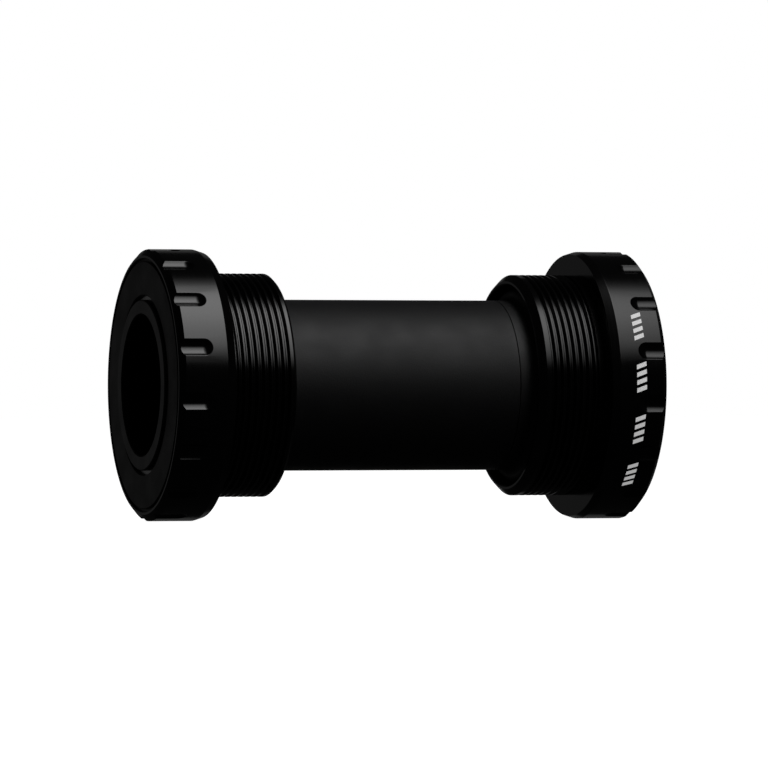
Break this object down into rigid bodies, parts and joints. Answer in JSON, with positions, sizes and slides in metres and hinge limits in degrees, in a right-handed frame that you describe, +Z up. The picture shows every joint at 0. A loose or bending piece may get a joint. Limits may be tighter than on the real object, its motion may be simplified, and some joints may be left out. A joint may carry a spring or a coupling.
{
  "type": "bottom bracket",
  "caption": "Threaded external-cup bicycle bottom bracket: two notched bearing cups on a flared plastic sleeve.",
  "frame": {"origin": "on the spindle axis, midway between the two cups", "axes": "+Y along the spindle axis to the rider's left (non-drive) side, +X forward, +Z up"},
  "size_m": [0.0422, 0.0798, 0.0422],
  "materials": {
    "cup_alloy": "black anodised, satin gloss",
    "cover_plastic": "black, fine moulded grain",
    "bush_plastic": "black, smooth turned",
    "sleeve_plastic": "black, eggshell moulded grain",
    "bearing_steel": "ground",
    "ball_steel": "polished",
    "cage_plastic": "moulded",
    "seal_rubber": "matt",
    "printed_mark": "white pad print, satin"
  },
  "bodies": {
    "sleeve": {"sleeve_long_half": "sleeve_plastic", "sleeve_short_half": "sleeve_plastic", "left_o_ring": "seal_rubber", "right_o_ring": "seal_rubber"},
    "left_cup_body": {"left_cup": "cup_alloy", "left_dust_cover": "cover_plastic", "left_bearing_outer_race": "bearing_steel", "left_bearing_outer_seal": "seal_rubber", "left_bearing_inner_seal": "seal_rubber"},
    "left_bearing_inner": {"left_bearing_inner_race": "bearing_steel", "left_spindle_bush": "bush_plastic"},
    "left_bearing_cage_body": {"left_bearing_balls": "ball_steel", "left_bearing_cage": "cage_plastic"},
    "right_cup_body": {"right_cup": "cup_alloy", "right_dust_cover": "cover_plastic", "right_bearing_outer_race": "bearing_steel", "right_bearing_outer_seal": "seal_rubber", "right_bearing_inner_seal": "seal_rubber"},
    "right_bearing_inner": {"right_bearing_inner_race": "bearing_steel", "right_spindle_bush": "bush_plastic"},
    "right_bearing_cage_body": {"right_bearing_balls": "ball_steel", "right_bearing_cage": "cage_plastic"}
  },
  "joints": [
    {"name": "left_cup_slide", "type": "slide", "parent": "sleeve", "child": "left_cup_body", "axis": [0, 1, 0], "range_m": [-0.003, 0.0056]},
    {"name": "left_spindle_spin", "type": "hinge", "parent": "left_cup_body", "child": "left_bearing_inner", "pos_m": [0, 0.03545, 0], "axis": [0, 1, 0], "continuous": true},
    {"name": "left_ball_orbit", "type": "hinge", "parent": "left_cup_body", "child": "left_bearing_cage_body", "pos_m": [0, 0.03545, 0], "axis": [0, 1, 0], "continuous": true},
    {"name": "right_cup_slide", "type": "slide", "parent": "sleeve", "child": "right_cup_body", "axis": [0, -1, 0], "range_m": [-0.003, 0.0056]},
    {"name": "right_spindle_spin", "type": "hinge", "parent": "right_cup_body", "child": "right_bearing_inner", "pos_m": [0, -0.03545, 0], "axis": [0, 1, 0], "continuous": true},
    {"name": "right_ball_orbit", "type": "hinge", "parent": "right_cup_body", "child": "right_bearing_cage_body", "pos_m": [0, -0.03545, 0], "axis": [0, 1, 0], "continuous": true}
  ],
  "couplings": [
    {"joint": "left_ball_orbit", "follows": "left_spindle_spin", "ratio": 0.44355},
    {"joint": "right_ball_orbit", "follows": "right_spindle_spin", "ratio": 0.44355}
  ]
}
